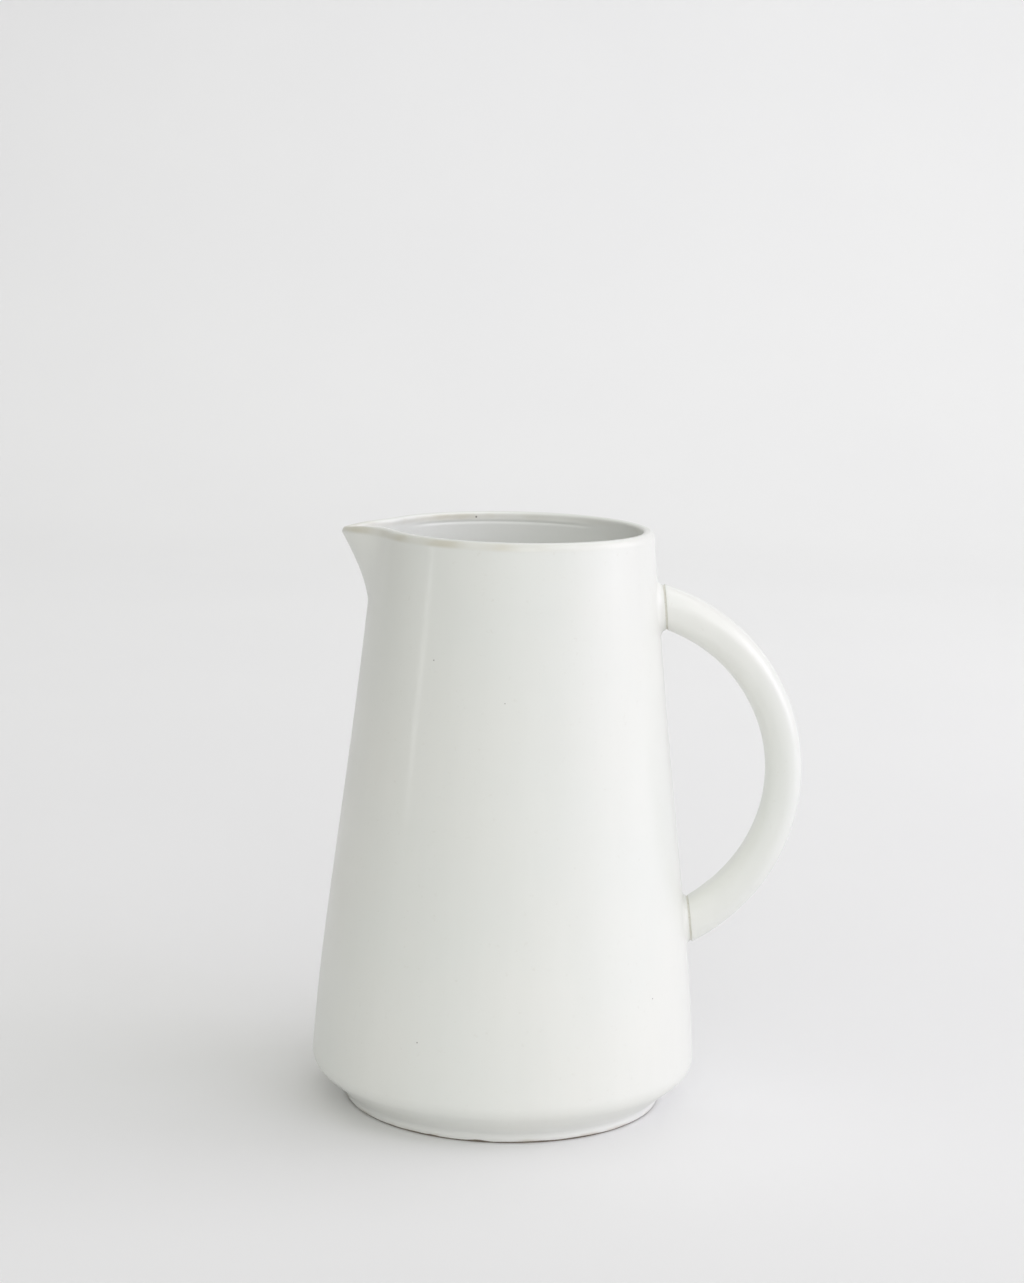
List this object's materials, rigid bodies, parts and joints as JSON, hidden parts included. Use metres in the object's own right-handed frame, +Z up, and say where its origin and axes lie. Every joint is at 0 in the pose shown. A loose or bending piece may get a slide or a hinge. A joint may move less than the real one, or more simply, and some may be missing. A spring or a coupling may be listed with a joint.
{
  "type": "ceramic pitcher",
  "caption": "Tapered stoneware pitcher with a pointed pouring spout, a loop handle and a satin off-white glaze over a bare clay foot.",
  "frame": {"origin": "the vessel's axis, in the plane that the foot stands on", "axes": "+Z up along the vessel's axis, +X towards the handle, -X towards the spout, +Y square to the plane of the handle"},
  "size_m": [0.1965, 0.1562, 0.235],
  "materials": {
    "stoneware": "matt, bare fired clay, dark grey-brown",
    "slip": "matt, fired joining slip washed over with thin glaze",
    "outside_glaze": "satin off-white with a faint green-grey cast and a few iron specks",
    "liner_glaze": "satin off-white liner, slightly glossier than the outside"
  },
  "bodies": {
    "root": {"vessel_body": "stoneware", "spout": "stoneware", "handle": "stoneware", "upper_handle_pad": "stoneware", "lower_handle_pad": "stoneware", "upper_slip_joint": "slip", "lower_slip_joint": "slip", "outer_glaze": "outside_glaze", "spout_glaze": "outside_glaze", "handle_glaze": "outside_glaze", "inner_glaze": "liner_glaze"}
  },
  "joints": []
}
